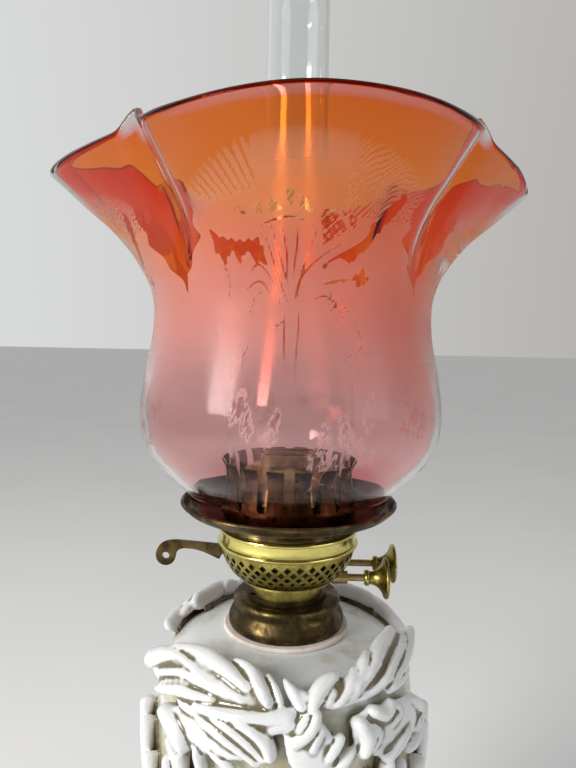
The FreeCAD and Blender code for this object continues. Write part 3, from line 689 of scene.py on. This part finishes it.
def etched_pattern(shares, heights):
    """Depth inside the etching, and how strong the frosting is, for each row and column of one lobe."""
    rng = random.Random(RANDOM_SEED)
    across = np.array([(45 * share + PATTERN_SHIFT) * PER_DEGREE for share in shares])
    x, y = np.meshgrid(across, np.array(heights))
    crown = CROWN - np.where(x < 0, 0.0082, 0.0046) * x * x
    depth = add_shapes(etched_ground(x, y, crown), x, y)
    for spine, widths in clear_twigs(rng):
        depth = np.minimum(depth, -stroke_depth(x, y, spine, widths))
    fade_below = np.clip((y - FADE_FOOT) / FADE_RISE, 0, 1) ** 1.5
    fade_above = np.clip((crown - y) / FADE_CROWN, 0, 1) ** 0.8
    frosting = fade_below * fade_above
    for spine, widths in frosted_ferns(rng):
        stroke = stroke_depth(x, y, spine, widths)
        depth = np.where(stroke > -0.4, np.where(y < 60, stroke, np.maximum(depth, stroke)), depth)
        frosting = np.where(stroke > -0.8, 1.0, frosting)
    return np.clip(depth, -DEEPEST, DEEPEST), frosting


# ---- chimney ----
CHIMNEY_WALL = 1.7
CHIMNEY_TOP_R = 15.5
CHIMNEY_TOP = 261.9
CHIMNEY_BODY = (                         # (radius, height) of the outside, a bulb under a long flue
    (31.75, 4.6), (31.75, 12), (31.9, 22), (33.4, 38), (33.0, 56), (27.0, 84), (20.6, 112),
    (17.6, 150), (16.0, 200), (15.6, 240), (CHIMNEY_TOP_R, 261.4),
)


def make_chimney():
    outer = spline(CHIMNEY_BODY, 8)
    inner = [(r - CHIMNEY_WALL, z) for r, z in outer]
    rim = [(CHIMNEY_TOP_R - 0.4, CHIMNEY_TOP), (CHIMNEY_TOP_R - CHIMNEY_WALL + 0.4, CHIMNEY_TOP)]
    chimney = lathe("glass_chimney", outer + rim + inner[::-1], 128, 60.0)
    paint(chimney, clear_glass())
    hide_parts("chimney")
    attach(chimney, "chimney_glass")


# ---- ceramic font ----
FONT_OUTSIDE = (                         # (radius, height) from the neck down to the foot
    (33, -68.0), (41, -69.5), (50, -71.5), (58, -75.5), (63, -82), (66, -92), (67, -106), (67, -133),
    (66, -160), (61, -184), (49, -204), (38, -220), (35, -233), (40, -241), (43, -248), (40, -255),
    (34.5, -263), (34, -276), (38, -296), (48, -311), (64, -320), (75, -328), (76, -335), (75, -337.9),
)
FONT_INSIDE = (                          # from under the foot to the stem's roof, then the reservoir
    (67, -337.9), (67, -332), (60, -326), (48, -318), (34, -298), (28, -276), (28, -240), (20, -228),
    (0.01, -222), (0.01, -214), (30, -210), (44, -200), (54, -182), (60, -162), (62, -133), (61, -102),
    (56, -88), (46, -81), (24.6, -78), (24.6, -68.0),
)
LEAF_LINE = (                            # (radius, height) that the leaves' spines follow down the bowl
    (46, -62), (54, -62.5), (60, -65), (65, -70), (69, -78), (71, -88), (72, -100), (72, -116), (71, -133),
    (69.5, -160), (64, -186), (52, -206), (41, -221), (37, -230),
)
FOOT_LINE = ((35, -262), (35.5, -276), (40, -296), (50, -311.5), (66, -321), (74, -327))
FRONT_LEAVES = (                         # (depth, spine of (angle, way down the line), half-widths)
    (4.5, ((-63, 18), (-41, 12), (-25, 15), (-12, 21)), (1.5, 4.6, 4.2, 2.2)),
    (3.0, ((-58, 22), (-37, 19), (-23, 22), (-14, 25)), (1.5, 2.8, 2.4, 1.6)),
    (4.5, ((-26, 8), (-15, 13), (-9, 20), (-5, 26)), (1.0, 3.4, 3.6, 2.0)),
    (3.0, ((-8, 12), (-4, 18), (-1, 25)), (0.8, 1.5, 1.5)),
    (3.8, ((-1, 14), (3, 20), (7, 27)), (0.9, 2.7, 2.6)),
    (3.4, ((5, 19), (8, 23), (9, 28)), (1.2, 2.4, 2.4)),
    (5.0, ((-80, 36), (-64, 24), (-49, 18), (-33, 21), (-20, 25)), (4.5, 5.0, 2.6, 2.2, 1.5)),
    (3.5, ((-60, 30), (-46, 23), (-35, 22.5), (-24, 25)), (2.0, 2.4, 2.0, 1.4)),
    (3.0, ((-58, 33), (-44, 26), (-34, 25)), (1.4, 1.8, 1.4)),
    (4.2, ((-60, 37), (-45, 30), (-35, 28), (-25, 27)), (2.2, 2.8, 2.4, 1.5)),
    (3.6, ((-36, 31.5), (-20, 31), (-8, 30), (4, 28)), (2.0, 3.2, 3.4, 3.0)),
    (2.6, ((-44, 34), (-24, 34), (-6, 33.5), (4, 31)), (2.0, 3.0, 3.2, 3.0)),
    (5.5, ((-52, 40), (-45, 44), (-40, 48), (-36, 53)), (2.6, 5.4, 5.2, 2.2)),
    (4.2, ((-34, 35), (-24, 39), (-16, 43), (-8, 50)), (1.5, 2.3, 2.2, 1.4)),
    (4.8, ((-29, 33), (-19, 36), (-11, 41.5), (-6, 48)), (1.5, 2.5, 2.3, 1.3)),
    (5.0, ((-19, 32), (-11, 35), (-6, 40), (-4, 47)), (2.0, 3.0, 3.2, 2.6)),
    (3.5, ((-34, 48), (-31, 53), (-29, 60)), (0.8, 2.3, 2.4)),
    (3.5, ((-27, 49), (-21, 51), (-16, 54)), (1.0, 1.8, 1.5)),
    (3.5, ((-48, 52), (-43, 57), (-40, 64)), (1.2, 2.6, 2.4)),
    (5.0, ((23, 14), (16, 17.5), (11, 23), (9, 29)), (1.8, 4.0, 3.6, 2.0)),
    (3.6, ((20, 20), (17, 23), (15, 27)), (1.4, 2.0, 1.2)),
    (4.6, ((31, 13), (27, 19), (22, 24), (18, 27)), (1.4, 2.8, 2.4, 1.4)),
    (4.6, ((44, 8), (36, 14), (29, 21), (24, 26)), (1.4, 3.2, 3.0, 1.4)),
    (5.2, ((74, 9), (53, 10.5), (38, 17), (27, 24)), (2.6, 4.4, 3.4, 1.6)),
    (4.4, ((75, 15), (56, 18), (43, 22.5), (31, 26)), (1.8, 3.2, 2.8, 1.4)),
    (4.4, ((92, 22), (74, 20), (55, 22.5), (43, 26)), (2.2, 3.6, 3.0, 1.6)),
    (3.6, ((61, 25), (51, 27), (42, 28)), (1.8, 2.4, 1.4)),
    (4.4, ((9, 27), (6.5, 31), (4, 36)), (1.6, 2.0, 1.6)),
    (5.4, ((12, 27), (9.5, 33), (6.5, 37), (2, 40)), (2.6, 3.0, 2.8, 2.2)),
    (5.0, ((14, 33), (11, 38), (9, 43)), (1.8, 2.3, 1.8)),
    (4.4, ((21, 38), (17, 43), (14, 48)), (1.8, 2.8, 2.0)),
    (5.2, ((26, 33), (30, 42), (27, 50)), (2.8, 4.6, 2.2)),
    (4.4, ((31, 36), (35, 43), (31, 50)), (1.8, 2.2, 1.2)),
    (4.4, ((32, 31), (39, 35.5), (44, 33)), (2.4, 3.4, 2.0)),
    (3.6, ((42, 31), (47, 38), (40, 42)), (1.4, 2.4, 1.4)),
    (4.0, ((57, 38), (65, 48), (58, 54)), (2.4, 4.0, 2.2)),
    (4.4, ((37, 55), (45, 52), (53, 48)), (2.2, 3.6, 2.2)),
    (4.0, ((17, 54), (21, 49), (25, 45)), (2.0, 2.6, 1.4)),
    (3.4, ((50, 58), (60, 60), (70, 56)), (2.0, 3.4, 2.0)),
)
FRONT_BEDS = (                           # the same for the low swellings that the leaves lie on
    (3.2, ((-72, 30), (-46, 23.5), (-25, 22), (-4, 25)), (5.0, 9.0, 7.5, 3.5)),
    (3.2, ((80, 17), (53, 17), (34, 20), (14, 25)), (5.0, 8.5, 7.5, 4.0)),
    (3.0, ((-50, 45), (-28, 41), (-6, 38)), (6.0, 10.0, 9.0)),
    (3.2, ((4, 30), (9, 42), (12, 54)), (7.0, 11.0, 9.0)),
    (3.0, ((26, 37), (42, 44), (64, 46)), (8.0, 12.0, 9.0)),
)
LEAF_SETS = ((0, 0.0), (180, -3.0))      # (turn, lift) of the front leaves and of their copy behind
FINGER_WIDTH = 1.04
BED_LIFT = -1.0
BOWL_LEAVES = 9
BOWL_ROWS = ((0.0, 55, 126), (0.5, 100, 168))    # (turn in leaves, top and bottom down the line)
FOOT_LEAVES = 8
FOOT_ROW = (80, 12)
BOWL_SPREAD = 19                         # degrees from a leaf's middle finger to its outer ones
FOOT_SPREAD = 22
FINGER_RING = 10                         # points round a finger
VOXEL = 0.9 * MM
NARROW_ROUNDS = 8                        # rounds of smoothing that show the slits between fingers
WIDE_ROUNDS = 60                         # and the hollows between leaves
FINE_HOLLOW = 0.30 * MM                  # how deep a narrow slit is at full painted shade
WIDE_HOLLOW = 1.6 * MM
BOWL_TOP = -74                           # the ground of the bowl takes more painted shade than its leaves do
BOWL_FOOT = -225
TOP_FADE = 8
FOOT_FADE = 10
SUNK_FULL = 4.5                          # below the leaf line
# share of painted shade on the bowl's ground sunk under the leaf line
SUNK_SHADE = 0.55


def follow(line, down):
    """Radius, height and the outward direction at a distance down a line of (radius, height)."""
    for (r0, z0), (r1, z1) in zip(line, line[1:]):
        step = math.hypot(r1 - r0, z1 - z0)
        if down <= step:
            break
        down -= step
    down = min(down, step)
    share = down / step
    return mix(r0, r1, share), mix(z0, z1, share), (z0 - z1) / step, (r1 - r0) / step


def add_petal(points, faces, line, depth, spine, widths, turn=0.0, lift=0.0):
    """One rounded finger of a leaf: a closed oval tube along a spine on the body's surface."""
    path = spline([(angle, down, width) for (angle, down), width in zip(spine, widths)], 6)
    centres = []
    outward = []
    for angle, down, width in path:
        r, z, out_r, out_z = follow(line, down)
        centre = place(r + lift * out_r, angle + turn, z + lift * out_z)
        above = place(r + (lift + 1) * out_r, angle + turn, z + (lift + 1) * out_z)
        centres.append(centre)
        outward.append((above - centre).normalized())
    start = len(points)
    last = len(path) - 1
    for i, (angle, down, width) in enumerate(path):
        tangent = centres[min(i + 1, last)] - centres[max(i - 1, 0)]
        across = tangent.cross(outward[i]).normalized()
        from_end = min(i, last - i)
        fullness = (0.45, 0.85)[from_end] if from_end < 2 else 1.0
        height = min(depth, 1.6 * width) * fullness
        for k in range(FINGER_RING):
            around = 2 * math.pi * k / FINGER_RING
            sideways = across * (width * fullness * math.cos(around))
            upwards = outward[i] * (height * math.sin(around))
            points.append(centres[i] + (sideways + upwards) * MM)
    end = start + last * FINGER_RING
    faces.extend(grid_faces(len(path), FINGER_RING, False, True, start))
    faces.append(tuple(range(start + FINGER_RING - 1, start - 1, -1)))
    faces.append(tuple(range(end, end + FINGER_RING)))


def add_acanthus(points, faces, line, angle, top, bottom, spread):
    """A guessed leaf of seven fingers that fan out over a bed, for the parts below the front leaves."""
    bed = ((angle, top + 7), (angle, (top + bottom) / 2), (angle, bottom))
    add_petal(points, faces, line, 3.4, bed, (8, 13, 5), 0.0, BED_LIFT)
    for number in range(-3, 4):
        reach = top + number * number * 0.065 * (bottom - top)
        lean = number * spread / 3
        root = (angle + lean * 0.12, bottom)
        waist = (angle + lean * 0.42, mix(bottom, reach, 0.45))
        tip = (angle + lean, mix(bottom, reach, 0.86))
        curl = (angle + lean * 1.15, reach)
        add_petal(points, faces, line, 4.2, (curl, tip, waist, root), (1.8, 4.3, 3.6, 1.6))


def smooth_points(spots, edges, times):
    """Positions after each point has moved several times towards the middle of its neighbours."""
    count = len(spots)
    ends = np.concatenate([edges[:, 0], edges[:, 1]])
    others = np.concatenate([edges[:, 1], edges[:, 0]])
    neighbours = np.bincount(ends, minlength=count)[:, None]
    for _ in range(times):
        total = [np.bincount(ends, weights=spots[others, axis], minlength=count) for axis in range(3)]
        spots = spots * 0.4 + np.stack(total, axis=1) / neighbours * 0.6
    return spots


def ceramic_leaves():
    """All the leaves of the font, as closed tubes that overlap one another and the body."""
    rng = random.Random(RANDOM_SEED)
    points = []
    faces = []
    for turn, lift in LEAF_SETS:
        for depth, spine, widths in FRONT_LEAVES:
            full = [FINGER_WIDTH * width for width in widths]
            add_petal(points, faces, LEAF_LINE, depth, spine, full, turn, lift)
        for depth, spine, widths in FRONT_BEDS:
            add_petal(points, faces, LEAF_LINE, depth, spine, widths, turn, lift + BED_LIFT)
    for i in range(BOWL_LEAVES):
        angle = 360 * i / BOWL_LEAVES + rng.uniform(-2, 2)
        for share, top, bottom in BOWL_ROWS:
            turned = angle + 360 * share / BOWL_LEAVES
            add_acanthus(points, faces, LEAF_LINE, turned, top, bottom, BOWL_SPREAD)
    for i in range(FOOT_LEAVES):
        add_acanthus(points, faces, FOOT_LINE, 360 * i / FOOT_LEAVES, *FOOT_ROW, FOOT_SPREAD)
    return mesh_object("ceramic_leaves", points, faces)


def one_skin(body, leaves):
    """One closed mesh round the body and its leaves."""
    draft = bmesh.new()
    draft.from_mesh(body.data)
    draft.from_mesh(leaves.data)
    draft.to_mesh(body.data)
    draft.free()
    remesh = body.modifiers.new("one_skin", "REMESH")
    remesh.mode = "VOXEL"
    remesh.voxel_size = VOXEL
    bpy.context.view_layer.update()
    skin = bpy.data.meshes.new_from_object(body.evaluated_get(bpy.context.evaluated_depsgraph_get()))
    bpy.data.objects.remove(body)
    bpy.data.objects.remove(leaves)
    return skin


def mark_hollows(skin):
    """Softens the skin, and marks its narrow slits and wide hollows for the glaze's painted shade."""
    spots = np.empty(len(skin.vertices) * 3)
    skin.vertices.foreach_get("co", spots)
    edges = np.empty(len(skin.edges) * 2, dtype=np.int64)
    skin.edges.foreach_get("vertices", edges)
    edges = edges.reshape(-1, 2)
    spots = smooth_points(spots.reshape(-1, 3), edges, 2)
    skin.vertices.foreach_set("co", spots.ravel())
    skin.update()
    normals = np.empty(len(skin.vertices) * 3)
    skin.vertices.foreach_get("normal", normals)
    normals = normals.reshape(-1, 3)
    narrow = smooth_points(spots, edges, NARROW_ROUNDS)
    wide = smooth_points(narrow, edges, WIDE_ROUNDS)
    slit = np.einsum("ij,ij->i", narrow - spots, normals) / FINE_HOLLOW
    valley = np.einsum("ij,ij->i", wide - spots, normals) / WIDE_HOLLOW
    line_r = [r for r, z in LEAF_LINE][::-1]
    line_z = [z for r, z in LEAF_LINE][::-1]
    height = spots[:, 2] / MM - GALLERY_Z / MM
    sunk = np.interp(height, line_z, line_r) - np.hypot(spots[:, 0], spots[:, 1]) / MM
    on_bowl = np.clip((BOWL_TOP - height) / TOP_FADE, 0, 1) * np.clip((height - BOWL_FOOT) / FOOT_FADE, 0, 1)
    # more painted shade on the bowl's ground where it lies sunk under the leaves
    valley += np.clip(sunk / SUNK_FULL, -0.4, 1.0) * SUNK_SHADE * on_bowl
    store(skin, "slit", slit)
    store(skin, "valley", valley)


def make_ceramic():
    body = lathe("ceramic_draft", spline(FONT_OUTSIDE, 4) + list(FONT_INSIDE))
    skin = one_skin(body, ceramic_leaves())
    mark_hollows(skin)
    skin.shade_smooth()
    ceramic = link(bpy.data.objects.new("ceramic", skin))
    paint(ceramic, white_glaze())
    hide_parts("ceramic_body")
    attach(ceramic, "base")


# ---- floor and light ----
FLOOR_HALF = 40.0                        # metres
WALL_LEFT = (0.70, 0.71, 0.71)           # colours of the light from the left and from the right
WALL_RIGHT = (0.46, 0.45, 0.43)
FRONT_LIGHT = 0.30                       # how bright the room is in front of the lamp, next to behind it


def make_floor():
    half = FLOOR_HALF
    corners = [(-half, -half, 0), (half, -half, 0), (half, half, 0), (-half, half, 0)]
    floor = mesh_object("floor", corners, [(0, 1, 2, 3)])
    m = Nodes("floor_paint")
    m.colour(m.ramp(m.noise(3.0, 3.0, 0.5), [(0.3, (0.86, 0.865, 0.87)), (0.7, (0.90, 0.90, 0.905))]))
    m.set(Roughness=0.8)
    paint(floor, m.material)


def area_light(name, spot, aim, width, height, power, colour=(1, 1, 1)):
    data = bpy.data.lights.new(name, "AREA")
    data.shape = "RECTANGLE"
    data.size = width
    data.size_y = height
    data.energy = power
    data.color = colour
    light = link(bpy.data.objects.new(name, data))
    light.location = spot
    light.rotation_euler = (Vector(aim) - Vector(spot)).to_track_quat("-Z", "Y").to_euler()


def make_world():
    """Even light from all round, paler on the left and dimmer in front."""
    world = bpy.data.worlds.new("studio")
    bpy.context.scene.world = world
    world.use_nodes = True
    tree = world.node_tree
    background = tree.nodes["Background"]
    direction = tree.nodes.new("ShaderNodeTexCoord")
    split = tree.nodes.new("ShaderNodeSeparateXYZ")
    ramp = tree.nodes.new("ShaderNodeValToRGB")
    stops = ((0.05, WALL_LEFT), (0.95, WALL_RIGHT))
    for element, (position, colour) in zip(ramp.color_ramp.elements, stops):
        element.position = position
        element.color = (*colour, 1.0)
    sideways = tree.nodes.new("ShaderNodeMapRange")
    sideways.inputs["From Min"].default_value = -0.5
    sideways.inputs["From Max"].default_value = 0.5
    back = tree.nodes.new("ShaderNodeMapRange")
    back.inputs["From Min"].default_value = -0.8
    back.inputs["From Max"].default_value = 0.3
    back.inputs["To Min"].default_value = FRONT_LIGHT
    tree.links.new(direction.outputs["Generated"], split.inputs[0])
    tree.links.new(split.outputs["X"], sideways.inputs["Value"])
    tree.links.new(split.outputs["Y"], back.inputs["Value"])
    tree.links.new(sideways.outputs["Result"], ramp.inputs["Fac"])
    tree.links.new(ramp.outputs["Color"], background.inputs["Color"])
    tree.links.new(back.outputs["Result"], background.inputs["Strength"])


def make_light():
    make_world()
    middle = (0, 0, GALLERY_Z)
    area_light("window", (-1.1, -0.9, GALLERY_Z + 0.45), middle, 0.5, 0.75, 24.0, (1.0, 0.98, 0.95))
    area_light("fill", (1.2, -0.8, GALLERY_Z + 0.5), middle, 1.0, 1.0, 5.0, (0.95, 0.97, 1.0))
    scene = bpy.context.scene
    scene.view_settings.view_transform = "Standard"
    scene.cycles.max_bounces = 16
    scene.cycles.transmission_bounces = 14
    scene.cycles.transparent_max_bounces = 16


# ---- looks of the CAD pieces ----
def paint_cad():
    dark, dark_dull, dark_spots = (0.19, 0.135, 0.055), (0.05, 0.033, 0.015), (0.02, 0.013, 0.007)
    aged, aged_dull, aged_spots = (0.46, 0.38, 0.10), (0.17, 0.135, 0.035), (0.06, 0.045, 0.015)
    shiny, shiny_dull, shiny_spots = (0.70, 0.62, 0.19), (0.55, 0.43, 0.15), (0.2, 0.14, 0.05)
    inner, inner_dull, inner_spots = (0.50, 0.38, 0.16), (0.28, 0.20, 0.08), (0.10, 0.07, 0.03)
    looks = {
        "dark_brass": brass("dark_brass", dark, dark_dull, dark_spots, 0.30, 0.55, 0.24),
        "aged_brass": brass("aged_brass", aged, aged_dull, aged_spots, 0.36, 0.66, 0.22),
        "polished_brass": brass("polished_brass", shiny, shiny_dull, shiny_spots, 0.5, 0.8, 0.12, 0.2),
        "inner_brass": brass("inner_brass", inner, inner_dull, inner_spots, 0.4, 0.7, 0.34),
        "white_glaze": white_glaze(), "plaster": plaster(), "cotton_wick": wick_cotton(),
        "clear_glass": clear_glass(), "shaded_glass": shade_glass(False),
    }
    for part in frame["record"]["subparts"]:
        node = frame["nodes"][part["node"]]
        paint(node, looks[part["material_slot"]])


make_camera()
make_floor()
make_light()
paint_cad()
make_shade()
make_chimney()
make_ceramic()
